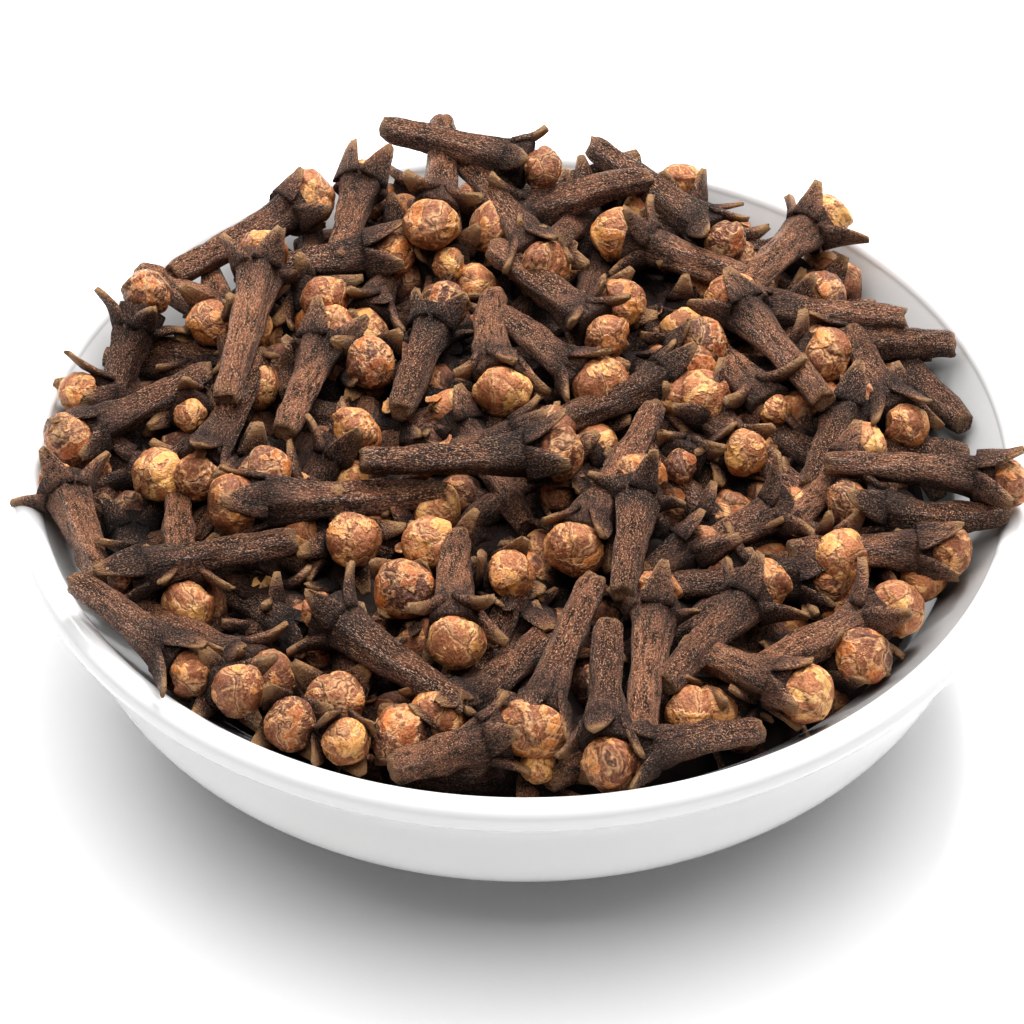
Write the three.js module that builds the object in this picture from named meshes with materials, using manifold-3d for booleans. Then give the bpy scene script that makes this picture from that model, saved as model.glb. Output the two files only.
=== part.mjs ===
// A small glazed bowl heaped with whole cloves, the dried flower buds of the clove tree.
// Millimetres, +Z up. The origin is the middle of the foot ring's underside.

import * as THREE from 'three';
import { mergeVertices } from 'three/addons/utils/BufferGeometryUtils.js';
import Module from 'manifold-3d';

const wasm = await Module();
wasm.setup();

// Bowl
const bowlHeight = 21;
const lipRadius = 1.25;
const lipMiddle = 38.7;
const bodyRadius = 36.5;
const bodyTop = 17.6;
const bodyBottom = 2.8;
const bodySquareness = 3.6;
const wallThickness = 2.6;
const floorTop = 5.6;
const cavitySquareness = 3.2;
const footOuter = 22;
const footInner = 19;
const footRecess = 1.8;
const footEdge = 0.4;
const lipFrom = -50;
const lipTo = 170;
const lipSteps = 7;
const bowlSides = 44;

// Heap: a low dome that leans a little to the front, and the core under its cloves
const edgeLift = 0.4;
const heapRise = 3.5;
const heapRadius = 37;
const heapLean = 0.07;
const coreDepth = 3;
const leastShowing = 1.8;
const mendSize = 0.05;
const coreSides = 20;
const coreRings = 9;
const bedDepth = 8;
const clearance = 0.3;
const bite = 0.5;

// A clove, along its own axis from the cut end of the stem to the top of the bud
const budRadius = 2.15;
const stemEndRadius = 1;
const stemTopRadius = 1.4;
const calyxRadius = 1.8;
const lobeReach = 2.9;
const calyxLength = 2.2;
const lobeLift = 0.5;
const calyxDrop = 1.5;
const stemSides = 4;
const cornerStretch = 1.3;
const tipRadius = 0.2;
const headHeavy = 1 / 6;

// Layout
const seed = 20117;
const drawFactor = 16807;
const drawModulus = 2147483647;
const fillCount = 60;
const fillRadius = 36;
const fillLength = [11.5, 15.5];
const budLength = 12;
const budPitch = [20, 50];
const budSink = 1;
const wobble = 3;
const tries = 12;
const steepest = 32;
const tiltStep = 4;

// Field of heights the cloves are laid on, and how finely a clove is felt over it
const cell = 0.5;
const fieldReach = 44;
const flank = 0.85;
const feelStep = 1;
const feelAcross = 2;
const stampAcross = 5;

// Buds that look out of the heap, with their stems down in it: [x, y, heading of the bud].
const buried = [
  [-1, -16, -45], [-13, -12, -80], [12, -5, -100], [17, -3, -60], [-9, -17, -95], [-7, -13, -125],
  [-14, -27, -90], [-17, -30, -80], [-13, -32, -70], [-21, -28, -60], [1, -33, -90], [12, -28, -100],
  [25, -22, -30], [-28, -4, -135], [-13, -1, 45], [-12, 7, -100], [-25, 13, -120], [-16, 15, -60],
  [-6, 19, -90], [8, 14, -20], [14, 9, 0], [14, 3, -30], [24, 9, -30], [24, 17, 30],
  [-35, 6, -150], [-30, 14, 70], [-26, 2, -90], [13, 31, 100], [-9, -30, 195], [24, -13, -60],
  [-20, -5, -60], [2, 19, -80],
];

// Cloves that lie on the heap, the lower ones first:
// [x, y, height over the heap's surface, heading of the bud, stem end to bud, tilt].
const lying = [
  [-20, -16, -4, -39, 12], [16, -9, -3, 28, 12], [17, -14, -3, 4, 12], [-26, -11, -2, -84, 11],
  [-2, -24, -2, -134, 12], [24, 0, -2, 67, 11], [-5, -33, -2, 20, 10], [12, -32, -2, -163, 11],
  [23, -5, -2, 52, 11], [-24, -20, -2, -35, 12], [29, 12, -2, -178, 11], [17, 7, -2, -57, 11],
  [-14, -8, -1, -174, 16], [31, -8, -1, 176, 12], [26, -12, -1, 3, 12], [28, 7, -1, -70, 11],
  [-2, 9, -1, -86, 11], [2, 8, -1, -47, 11], [8, 3, -1, 32, 12], [14, 20, -1, 153, 14],
  [-17, 20, -1, 7, 13], [-26, 16, -1, -37, 13], [24, 14, -1, 177, 13], [-23, 2, -1, -109, 14],
  [-17, 5, -1, 75, 12], [-29, -22, -1, -40, 12, -8], [-8, 7, -1, 76, 13], [7, -6, -1, -114, 16],
  [6, -29, -1, -91, 12, -6], [22, -21, -1, 29, 13], [-14, 25, 0, 79, 11], [4, 26, 0, -156, 14],
  [21, 20, 0, 52, 12], [-23, 23, 0, 39, 14], [-30, 3, 0, -141, 13], [-34, -10, 0, 110, 12],
  [2, 14, 0, -51, 14], [11, 28, 0, -49, 16], [20, 8, 0, 119, 14], [8, -13, 0, 83, 13],
  [9, -25, 0, 84, 15], [30, -6, 0, -6, 14], [-24, -14, 0, -165, 14], [-5, -18, 0, -90, 11],
  [14, -22, 0, 53, 13], [16, -25, 0, -26, 10], [3, -24, 0, -107, 15], [-10, -24, 0, 140, 15],
  [-22, 10, 1, 82, 17], [-2, 24, 1, -63, 15], [-5, -6, 1, 1, 15], [-7, 28, 2, -93, 13],
  [-5, 30, 3, -22, 14],
];

let drawn = seed;

// A repeatable random number from low to high.
function draw(low, high) {
  drawn = (drawn * drawFactor) % drawModulus;
  return low + (high - low) * drawn / drawModulus;
}

const radians = (degrees) => degrees * Math.PI / 180;

// Level of the axes of the cloves that lie on top.
function heapHeight(x, y) {
  const part = Math.min(Math.hypot(x, y) / heapRadius, 1);
  return bowlHeight + edgeLift + heapRise * (1 - part * part) + heapLean * y;
}

// Quarter turn of points down a squarish side, from its upright top to its flat bottom.
function squarishSide(radius, top, bottom, squareness, innermost, count) {
  const side = [];
  for (let i = 0; i <= count; i += 1) {
    const angle = Math.PI / 2 * i / count;
    const across = radius * Math.pow(Math.cos(angle), 2 / squareness);
    const down = (top - bottom) * Math.pow(Math.sin(angle), 2 / squareness);
    if (across > innermost) {
      side.push(new THREE.Vector2(across, top - down));
    }
  }
  return side;
}

const cavityRadius = bodyRadius - wallThickness;
const cavityTop = bodyTop - lipRadius;

function bowlProfile() {
  const under = [
    new THREE.Vector2(0, footRecess),
    new THREE.Vector2(footInner - footEdge, footRecess),
    new THREE.Vector2(footInner, 0),
    new THREE.Vector2(footOuter - footEdge, 0),
    new THREE.Vector2(footOuter, footEdge),
    new THREE.Vector2(footOuter, bodyBottom),
  ];
  const outside = squarishSide(bodyRadius, bodyTop, bodyBottom, bodySquareness, footOuter + 1, 8).reverse();
  const lip = [];
  for (let i = 0; i <= lipSteps; i += 1) {
    const angle = radians(lipFrom + (lipTo - lipFrom) * i / lipSteps);
    const across = lipMiddle + lipRadius * Math.cos(angle);
    lip.push(new THREE.Vector2(across, bowlHeight - lipRadius + lipRadius * Math.sin(angle)));
  }
  const inside = squarishSide(cavityRadius, cavityTop, floorTop, cavitySquareness, 1, 7);
  return [...under, ...outside, ...lip, ...inside, new THREE.Vector2(0, floorTop)];
}

function bowlGeometry() {
  return new THREE.LatheGeometry(bowlProfile(), bowlSides).rotateX(Math.PI / 2);
}

// Lowest level for a clove over the bowl's inner face, with room to clear it.
function linedHeight(radius) {
  const outer = radius + clearance;
  if (outer < cavityRadius) {
    const rise = 1 - Math.pow(1 - Math.pow(outer / cavityRadius, cavitySquareness), 1 / cavitySquareness);
    return floorTop + (cavityTop - floorTop) * rise + clearance;
  }
  const flare = (outer - cavityRadius) / (lipMiddle - cavityRadius);
  return cavityTop + (bowlHeight - cavityTop) * Math.min(flare, 1) + clearance;
}

// The bed and the cloves laid so far, as a field of heights.
const fieldSize = Math.round(2 * fieldReach / cell);
const field = new Float64Array(fieldSize * fieldSize);

function fieldIndex(x, y) {
  const column = Math.floor((x + fieldReach) / cell);
  const row = Math.floor((y + fieldReach) / cell);
  return row * fieldSize + column;
}

function layGround() {
  for (let row = 0; row < fieldSize; row += 1) {
    for (let column = 0; column < fieldSize; column += 1) {
      const x = (column + 0.5) * cell - fieldReach;
      const y = (row + 0.5) * cell - fieldReach;
      const bed = heapHeight(x, y) - bedDepth;
      field[row * fieldSize + column] = Math.max(bed, linedHeight(Math.hypot(x, y)));
    }
  }
}

// Radius of a clove at a distance behind (-) or past (+) the middle of its bud.
function cloveRadius(along, length) {
  if (along > -calyxDrop) {
    return Math.sqrt(Math.max(budRadius * budRadius - along * along, tipRadius * tipRadius));
  }
  if (along > -calyxDrop - calyxLength) {
    return calyxRadius;
  }
  return stemEndRadius + (stemTopRadius - stemEndRadius) * (along + length) / length;
}

// Calls visit(x, y, height of the axis over the clove's middle, half height) all over a clove.
function sweep(clove, alongStep, acrossSteps, visit) {
  const heading = radians(clove.heading);
  const pitch = radians(clove.pitch);
  for (let along = -clove.length; along <= budRadius; along += alongStep) {
    const radius = cloveRadius(along, clove.length);
    const out = (along + clove.length / 2) * Math.cos(pitch);
    const rise = (along + clove.length / 2) * Math.sin(pitch);
    for (let i = -acrossSteps; i <= acrossSteps; i += 1) {
      const across = flank * radius * i / acrossSteps;
      const x = clove.x + out * Math.cos(heading) - across * Math.sin(heading);
      const y = clove.y + out * Math.sin(heading) + across * Math.cos(heading);
      const half = Math.sqrt(radius * radius - across * across) / Math.cos(pitch);
      visit(x, y, rise, half);
    }
  }
}

// Lets a clove down at the pitch that brings its heavy end lowest, and returns how low that is.
function settle(clove) {
  let best = { lowest: Infinity };
  for (let pitch = -steepest; pitch <= steepest; pitch += tiltStep) {
    let z = 0;
    sweep({ ...clove, pitch }, feelStep, feelAcross, (x, y, rise, half) => {
      z = Math.max(z, field[fieldIndex(x, y)] + half - rise);
    });
    const lowest = z + clove.length * headHeavy * Math.sin(radians(pitch));
    if (lowest < best.lowest) {
      best = { ...clove, pitch, z, lowest };
    }
  }
  return best;
}

// Adds a clove to the field, less the bite that the next one takes out of it.
function stamp(clove) {
  sweep(clove, cell, stampAcross, (x, y, rise, half) => {
    const index = fieldIndex(x, y);
    field[index] = Math.max(field[index], clove.z + rise + half - bite);
  });
}

// Whether both ends of a clove lie inside the bowl.
function fits(clove) {
  const heading = radians(clove.heading);
  return [-clove.length / 2, clove.length / 2 + budRadius].every((along) => (
    Math.hypot(clove.x + along * Math.cos(heading), clove.y + along * Math.sin(heading)) < fillRadius
  ));
}

// A clove of the lower layers: of a few drawn places, the one where it sinks deepest.
function fillClove() {
  const length = draw(...fillLength);
  let best = null;
  for (let i = 0; i < tries; i += 1) {
    const around = draw(0, 2 * Math.PI);
    const radius = fillRadius * Math.sqrt(draw(0, 1));
    const clove = { length, heading: draw(0, 360), x: radius * Math.cos(around), y: radius * Math.sin(around) };
    if (fits(clove)) {
      const settled = settle(clove);
      settled.depth = heapHeight(clove.x, clove.y) - settled.lowest;
      if (best === null || settled.depth > best.depth) {
        best = settled;
      }
    }
  }
  return best;
}

// Raises a clove as far as the bowl is in its way.
function keepOffBowl(clove) {
  let { z } = clove;
  sweep(clove, feelStep, feelAcross, (x, y, rise, half) => {
    z = Math.max(z, linedHeight(Math.hypot(x, y)) + half - rise);
  });
  return { ...clove, z };
}

// A clove that stands in the heap, with its bud just under the surface.
function buriedClove([budX, budY, heading]) {
  const pitch = draw(...budPitch);
  const out = budLength / 2 * Math.cos(radians(pitch));
  return keepOffBowl({
    heading,
    pitch,
    length: budLength,
    x: budX - out * Math.cos(radians(heading)),
    y: budY - out * Math.sin(radians(heading)),
    z: heapHeight(budX, budY) - budSink - out * Math.tan(radians(pitch)),
  });
}

// A clove that lies on the heap and leans as the heap does.
function lyingClove([x, y, lift, heading, length, tilt = 0]) {
  const slope = Math.atan(heapLean * Math.sin(radians(heading))) * 180 / Math.PI;
  return keepOffBowl({
    heading,
    pitch: slope + tilt + draw(-wobble, wobble),
    length,
    x,
    y,
    z: heapHeight(x, y) + lift,
  });
}

function layout() {
  const cloves = [];
  const lay = (clove) => {
    stamp(clove);
    cloves.push({ ...clove, roll: draw(0, 90) });
  };
  layGround();
  for (let i = 0; i < fillCount; i += 1) {
    const clove = fillClove();
    if (clove !== null) {
      lay(clove);
    }
  }
  buried.forEach((row) => lay(buriedClove(row)));
  lying.forEach((row) => lay(lyingClove(row)));
  return cloves;
}

// A closed geometry as a solid that can be joined and cut.
function solidOf(geometry) {
  const bare = geometry.index ? geometry.toNonIndexed() : geometry.clone();
  bare.deleteAttribute('normal');
  bare.deleteAttribute('uv');
  const merged = mergeVertices(bare, 1e-4);
  return new wasm.Manifold(new wasm.Mesh({
    numProp: 3,
    vertProperties: new Float32Array(merged.attributes.position.array),
    triVerts: new Uint32Array(merged.index.array),
  }));
}

function geometryOf(solid) {
  const mesh = solid.getMesh();
  const geometry = new THREE.BufferGeometry();
  geometry.setAttribute('position', new THREE.BufferAttribute(mesh.vertProperties, 3));
  geometry.setIndex(new THREE.BufferAttribute(mesh.triVerts, 1));
  geometry.computeVertexNormals();
  return geometry;
}

// One clove with its axis on +Z and the middle of its length at the origin: a four-sided stem
// that widens to the four points of the calyx, and a round bud on top.
function cloveSolid(length) {
  const calyxTop = length - calyxDrop;
  const outline = [
    new THREE.Vector2(0, 0),
    new THREE.Vector2(stemEndRadius * cornerStretch, 0),
    new THREE.Vector2(stemTopRadius * cornerStretch, calyxTop - calyxLength),
    new THREE.Vector2(lobeReach, calyxTop + lobeLift),
    new THREE.Vector2(0, calyxTop),
  ];
  const stem = new THREE.LatheGeometry(outline, stemSides).rotateX(Math.PI / 2);
  const bud = new THREE.IcosahedronGeometry(budRadius, 0).translate(0, 0, length);
  return solidOf(stem).add(solidOf(bud)).translate([0, 0, -length / 2]);
}

function placeMatrix(clove) {
  const turn = new THREE.Matrix4().makeRotationZ(radians(clove.heading));
  const tilt = new THREE.Matrix4().makeRotationY(radians(90 - clove.pitch));
  const roll = new THREE.Matrix4().makeRotationZ(radians(clove.roll));
  return turn.multiply(tilt).multiply(roll).setPosition(clove.x, clove.y, clove.z);
}

// The core lies along the bowl's inner face below and under the cloves above.
function coreGeometry() {
  const top = [];
  const bottom = [];
  for (let i = 0; i <= coreRings; i += 1) {
    const radius = cavityRadius * (1 - Math.pow(1 - i / coreRings, 2));
    bottom.push(new THREE.Vector2(radius, linedHeight(radius)));
    top.unshift(new THREE.Vector2(radius, bowlHeight));
  }
  const geometry = new THREE.LatheGeometry([...bottom, ...top], coreSides).rotateX(Math.PI / 2);
  const position = geometry.attributes.position;
  for (let i = 0; i < position.count; i += 1) {
    if (position.getZ(i) === bowlHeight) {
      const x = position.getX(i);
      const y = position.getY(i);
      const lowest = linedHeight(Math.hypot(x, y)) + clearance;
      position.setZ(i, Math.max(heapHeight(x, y) - coreDepth, lowest));
    }
  }
  return geometry;
}

// Whether a clove stands far enough out of the core to be seen.
function standsOut(clove) {
  const top = clove.z + clove.length / 2 * Math.abs(Math.sin(radians(clove.pitch))) + budRadius;
  return top > heapHeight(clove.x, clove.y) - coreDepth + leastShowing;
}

// The heap in one piece: what lies loose or shuts in a hollow after joining is left out.
function heapGeometry() {
  let heap = solidOf(coreGeometry());
  for (const clove of layout().filter(standsOut)) {
    heap = heap.add(cloveSolid(clove.length).transform(placeMatrix(clove).elements));
  }
  const parts = heap.simplify(mendSize).decompose();
  const largest = parts.reduce((best, part) => (part.volume() > best.volume() ? part : best));
  return geometryOf(largest);
}

const glaze = new THREE.MeshStandardMaterial({ color: 0xf4f4f2, roughness: 0.12, metalness: 0 });
const driedBud = new THREE.MeshStandardMaterial({ color: 0x5a3a26, roughness: 0.85, metalness: 0 });

const bowl = new THREE.Mesh(bowlGeometry(), glaze);
bowl.name = 'bowl';

const cloves = new THREE.Mesh(heapGeometry(), driedBud);
cloves.name = 'cloves';

const group = new THREE.Group();
group.add(bowl, cloves);

export default group;
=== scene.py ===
from math import atan, atan2, cos, degrees, floor, hypot, inf, pi, radians, sin, sqrt, tan

import bmesh
import bpy
from mathutils import Matrix, Vector, noise


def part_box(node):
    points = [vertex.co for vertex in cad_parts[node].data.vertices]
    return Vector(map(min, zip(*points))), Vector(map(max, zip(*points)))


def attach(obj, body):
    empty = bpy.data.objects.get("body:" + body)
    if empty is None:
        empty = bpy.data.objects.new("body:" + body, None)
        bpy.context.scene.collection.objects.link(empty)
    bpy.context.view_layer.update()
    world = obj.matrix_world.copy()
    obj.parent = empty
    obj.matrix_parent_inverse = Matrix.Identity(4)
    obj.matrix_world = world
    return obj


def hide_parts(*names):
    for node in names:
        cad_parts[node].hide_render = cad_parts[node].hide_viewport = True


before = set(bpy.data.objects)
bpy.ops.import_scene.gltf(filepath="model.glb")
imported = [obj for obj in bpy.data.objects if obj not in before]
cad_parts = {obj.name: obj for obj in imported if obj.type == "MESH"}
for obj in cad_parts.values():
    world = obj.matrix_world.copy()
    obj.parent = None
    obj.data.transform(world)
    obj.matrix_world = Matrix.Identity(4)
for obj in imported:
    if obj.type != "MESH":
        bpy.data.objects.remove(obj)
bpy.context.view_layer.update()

# Everything below is worked out in millimetres and scaled once, when a piece is finished.
mm = 0.001
mergeDistance = 0.001
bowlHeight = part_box("bowl")[1][2] / mm


def smoothStep(low, high, value):
    part = min(max((value - low) / (high - low), 0), 1)
    return part * part * (3 - 2 * part)


def noiseAt(x, y, z):
    return noise.noise(Vector((x, y, z)))


def finishPiece(bm, name, materials):
    bmesh.ops.recalc_face_normals(bm, faces=bm.faces)
    bmesh.ops.scale(bm, vec=(mm, mm, mm), verts=bm.verts)
    for face in bm.faces:
        face.smooth = True
    mesh = bpy.data.meshes.new(name)
    bm.to_mesh(mesh)
    bm.free()
    piece = bpy.data.objects.new(name, mesh)
    bpy.context.scene.collection.objects.link(piece)
    for material in materials:
        mesh.materials.append(material)
    return piece


def spinOutline(outline, steps, closed=False):
    bm = bmesh.new()
    points = [bm.verts.new((across, 0, height)) for across, height in outline]
    if closed:
        points.append(points[0])
    for first, second in zip(points, points[1:]):
        bm.edges.new((first, second))
    bmesh.ops.spin(bm, geom=bm.verts[:] + bm.edges[:], cent=(0, 0, 0), axis=(0, 0, 1),
                   angle=2 * pi, steps=steps, use_merge=True)
    bmesh.ops.remove_doubles(bm, verts=bm.verts, dist=mergeDistance)
    return bm


def newMaterial(name):
    material = bpy.data.materials.new(name)
    material.use_nodes = True
    tree = material.node_tree
    shader = tree.nodes["Principled BSDF"]
    return material, tree, shader


def addNode(tree, kind, **settings):
    node = tree.nodes.new(kind)
    for key, value in settings.items():
        setattr(node, key, value)
    return node


def setSocket(tree, socket, value):
    if isinstance(value, bpy.types.NodeSocket):
        tree.links.new(value, socket)
    elif isinstance(value, tuple):
        socket.default_value = (*value, 1)
    else:
        socket.default_value = value


def addRamp(tree, source, stops):
    ramp = tree.nodes.new("ShaderNodeValToRGB")
    elements = ramp.color_ramp.elements
    while len(elements) < len(stops):
        elements.new(0.5)
    for element, (position, color) in zip(elements, stops):
        element.position = position
        element.color = (*color, 1)
    tree.links.new(source, ramp.inputs["Fac"])
    return ramp.outputs["Color"]


def addMask(tree, source, stops):
    return addRamp(tree, source, [(position, (level,) * 3) for position, level in stops])


def addNoise(tree, vector, scale, detail=3, roughness=0.55):
    node = tree.nodes.new("ShaderNodeTexNoise")
    node.inputs["Scale"].default_value = scale
    node.inputs["Detail"].default_value = detail
    node.inputs["Roughness"].default_value = roughness
    tree.links.new(vector, node.inputs["Vector"])
    return node.outputs["Fac"]


def addMapping(tree, vector, scale):
    node = tree.nodes.new("ShaderNodeMapping")
    node.inputs["Scale"].default_value = scale
    tree.links.new(vector, node.inputs["Vector"])
    return node.outputs["Vector"]


def addMix(tree, factor, first, second, blend="MIX"):
    node = addNode(tree, "ShaderNodeMix", data_type="RGBA", blend_type=blend)
    factorSocket, firstSocket, secondSocket = node.inputs[0], node.inputs[6], node.inputs[7]
    setSocket(tree, factorSocket, factor)
    setSocket(tree, firstSocket, first)
    setSocket(tree, secondSocket, second)
    return node.outputs[2]


def addMath(tree, operation, *values, clamp=False):
    node = addNode(tree, "ShaderNodeMath", operation=operation, use_clamp=clamp)
    for socket, value in zip(node.inputs, values):
        setSocket(tree, socket, value)
    return node.outputs[0]


# each part is a value and its weight
def addSum(tree, *parts):
    total = None
    for value, weight in parts:
        weighed = addMath(tree, "MULTIPLY", value, weight)
        total = weighed if total is None else addMath(tree, "ADD", total, weighed)
    return total


def addBump(tree, shader, height, strength, distance):
    node = tree.nodes.new("ShaderNodeBump")
    node.inputs["Strength"].default_value = strength
    node.inputs["Distance"].default_value = distance
    tree.links.new(height, node.inputs["Height"])
    tree.links.new(node.outputs["Normal"], shader.inputs["Normal"])


view = {
    "target": Vector((-0.92, -7.55, bowlHeight)) * mm,
    "elevation": 41.6,
    "distance": 0.330,
    "lens": 151.5,
    "sensor": 36,
    "nearest": 0.01,
}


def placeCamera():
    data = bpy.data.cameras.new("camera")
    data.lens = view["lens"]
    data.sensor_width = view["sensor"]
    data.clip_start = view["nearest"]
    camera = bpy.data.objects.new("camera", data)
    rise = radians(view["elevation"])
    away = Vector((0, -cos(rise), sin(rise)))
    camera.location = view["target"] + away * view["distance"]
    camera.rotation_euler = (pi / 2 - rise, 0, 0)
    bpy.context.scene.collection.objects.link(camera)
    bpy.context.scene.camera = camera


# sizes and places in metres, power in watts
lamps = {
    "overhead": {"size": (0.85, 0.80), "power": 6.8, "place": (0, 0.06, 0.60), "aim": (0, 0.06, 0)},
    "key": {"size": (0.12, 0.12), "power": 2.35, "place": (0.12, 0.28, 0.48), "aim": (0, 0, 0.01)},
    "back": {"size": (0.30, 0.10), "power": 0.14, "place": (0, 0.17, 0.13), "aim": (0, 0.03, 0.02)},
}
studio = {
    "worldColor": (1, 1, 1, 1),
    "worldStrength": 0.065,
    "viewTransform": "Standard",
    "look": "Medium High Contrast",
}


def addLamp(name, settings):
    data = bpy.data.lights.new(name, "AREA")
    data.shape = "RECTANGLE"
    data.size, data.size_y = settings["size"]
    data.energy = settings["power"]
    place, aim = Vector(settings["place"]), Vector(settings["aim"])
    lamp = bpy.data.objects.new(name, data)
    lamp.location = place
    lamp.rotation_euler = (aim - place).to_track_quat("-Z", "Y").to_euler()
    bpy.context.scene.collection.objects.link(lamp)


def lightScene():
    for name, settings in lamps.items():
        addLamp(name, settings)
    world = bpy.data.worlds.new("studio")
    world.use_nodes = True
    background = world.node_tree.nodes["Background"]
    background.inputs["Color"].default_value = studio["worldColor"]
    background.inputs["Strength"].default_value = studio["worldStrength"]
    bpy.context.scene.world = world
    bpy.context.scene.view_settings.view_transform = studio["viewTransform"]
    bpy.context.scene.view_settings.look = studio["look"]


tableTop = {"reach": 2500, "color": (0.93, 0.93, 0.93, 1), "roughness": 0.6}


def layFloor():
    bm = bmesh.new()
    bmesh.ops.create_grid(bm, x_segments=1, y_segments=1, size=tableTop["reach"])
    material, tree, shader = newMaterial("whiteTable")
    shader.inputs["Base Color"].default_value = tableTop["color"]
    shader.inputs["Roughness"].default_value = tableTop["roughness"]
    table = finishPiece(bm, "table", [material])


placeCamera()
lightScene()
layFloor()
print("camera, light and floor")


bowl = {
    "lipRadius": 1.25,
    "lipMiddle": 38.7,
    "lipFrom": -50,
    "lipSweep": 220,
    "lipSteps": 22,
    "bodyRadius": 36.5,
    "bodyTop": 17.6,
    "bodyBottom": 2.8,
    "bodySquareness": 3.6,
    "bodySteps": 28,
    "wallThickness": 2.6,
    "floorTop": 5.6,
    "cavitySquareness": 3.2,
    "cavitySteps": 24,
    "innermost": 1,
    "footOuter": 22,
    "footInner": 19,
    "footRecess": 1.8,
    "footEdge": 0.4,
    "footGap": 1,
    "steps": 160,
}
cavityRadius = bowl["bodyRadius"] - bowl["wallThickness"]
cavityTop = bowl["bodyTop"] - bowl["lipRadius"]


# a quarter of a squarish ellipse, as far in as innermost
def squarishSide(radius, top, bottom, squareness, innermost, count):
    side = []
    for i in range(count + 1):
        angle = pi / 2 * i / count
        across = radius * max(cos(angle), 0) ** (2 / squareness)
        down = (top - bottom) * sin(angle) ** (2 / squareness)
        if across > innermost:
            side.append((across, top - down))
    return side


def bowlOutline():
    under = [
        (0, bowl["footRecess"]),
        (bowl["footInner"] - bowl["footEdge"], bowl["footRecess"]),
        (bowl["footInner"], 0),
        (bowl["footOuter"] - bowl["footEdge"], 0),
        (bowl["footOuter"], bowl["footEdge"]),
        (bowl["footOuter"], bowl["bodyBottom"]),
    ]
    outside = squarishSide(bowl["bodyRadius"], bowl["bodyTop"], bowl["bodyBottom"],
                           bowl["bodySquareness"], bowl["footOuter"] + bowl["footGap"],
                           bowl["bodySteps"])[::-1]
    lip = []
    for i in range(bowl["lipSteps"] + 1):
        angle = radians(bowl["lipFrom"] + bowl["lipSweep"] * i / bowl["lipSteps"])
        lip.append((bowl["lipMiddle"] + bowl["lipRadius"] * cos(angle),
                    bowlHeight - bowl["lipRadius"] + bowl["lipRadius"] * sin(angle)))
    inside = squarishSide(cavityRadius, cavityTop, bowl["floorTop"], bowl["cavitySquareness"],
                          bowl["innermost"], bowl["cavitySteps"])
    return under + outside + lip + inside + [(0, bowl["floorTop"])]


glaze = {
    "cloudScale": 30,
    "cloudDetail": 2,
    "cloud": [(0.3, (0.73, 0.73, 0.725)), (0.7, (0.77, 0.77, 0.77))],
    "roughness": 0.14,
    "coat": 0.4,
    "coatRoughness": 0.05,
    "rippleScale": 90,
    "rippleDetail": 2,
    "rippleStrength": 0.05,
    "rippleDepth": 0.0004,
}


def makeGlaze():
    material, tree, shader = newMaterial("whiteGlaze")
    place = addNode(tree, "ShaderNodeTexCoord").outputs["Object"]
    cloud = addNoise(tree, place, glaze["cloudScale"], glaze["cloudDetail"])
    tree.links.new(addRamp(tree, cloud, glaze["cloud"]), shader.inputs["Base Color"])
    shader.inputs["Roughness"].default_value = glaze["roughness"]
    shader.inputs["Coat Weight"].default_value = glaze["coat"]
    shader.inputs["Coat Roughness"].default_value = glaze["coatRoughness"]
    ripple = addNoise(tree, place, glaze["rippleScale"], glaze["rippleDetail"])
    addBump(tree, shader, ripple, glaze["rippleStrength"], glaze["rippleDepth"])
    return material


def makeBowl():
    bm = spinOutline(bowlOutline(), bowl["steps"])
    piece = finishPiece(bm, "glazedBowl", [makeGlaze()])
    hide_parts("bowl")
    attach(piece, "root")


makeBowl()
print("bowl")


heap = {
    "edgeLift": 0.4,
    "rise": 3.5,
    "radius": 37,
    "lean": 0.07,
    "bedDepth": 8,
    "clearance": 0.3,
    "bite": 0.5,
}
clove = {
    "budRadius": 2.15,
    "stemEndRadius": 1,
    "stemTopRadius": 1.4,
    "calyxRadius": 1.8,
    "calyxLength": 2.2,
    "calyxDrop": 1.5,
}
spread = {
    "seed": 20117,
    "fillCount": 60,
    "fillRadius": 36,
    "fillLength": (11.5, 15.5),
    "budLength": 12,
    "budPitch": (20, 50),
    "budSink": 1,
    "roll": (0, 90),
    "tries": 12,
    "steepest": 32,
    "wobble": 3,
    "tiltStep": 4,
    "cell": 0.5,
    "reach": 44,
}

# how a clove is felt against the field: steps along it and to each side of its middle, the share
# of its width they cover, and the least square of its radius, which keeps the bud's tip open
sweeps = {"coarse": (1, 2), "fine": (spread["cell"], 5), "width": 0.85, "leastSquare": 0.04}

# a clove is judged by how deep a point a sixth of its length towards the bud lies
judgedShare = 6

# those that show in the gaps, in a spiral from the middle out
tucked = {
    "count": 190,
    "radius": 33.5,
    "length": (10, 13),
    "depth": (4, 6),
    "highest": 3.2,
    "pitch": (-12, 12),
    "turn": 2.39996,
}

# buds that look out of the heap: x, y, heading of the bud
buried = [
    (-1, -16, -45), (-13, -12, -80), (12, -5, -100), (17, -3, -60), (-9, -17, -95), (-7, -13, -125),
    (-14, -27, -90), (-17, -30, -80), (-13, -32, -70), (-21, -28, -60), (1, -33, -90), (12, -28, -100),
    (25, -22, -30), (-28, -4, -135), (-13, -1, 45), (-12, 7, -100), (-25, 13, -120), (-16, 15, -60),
    (-6, 19, -90), (8, 14, -20), (14, 9, 0), (14, 3, -30), (24, 9, -30), (24, 17, 30),
    (-35, 6, -150), (-30, 14, 70), (-26, 2, -90), (13, 31, 100), (-9, -30, 195), (24, -13, -60),
    (-20, -5, -60), (2, 19, -80),
]

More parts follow.
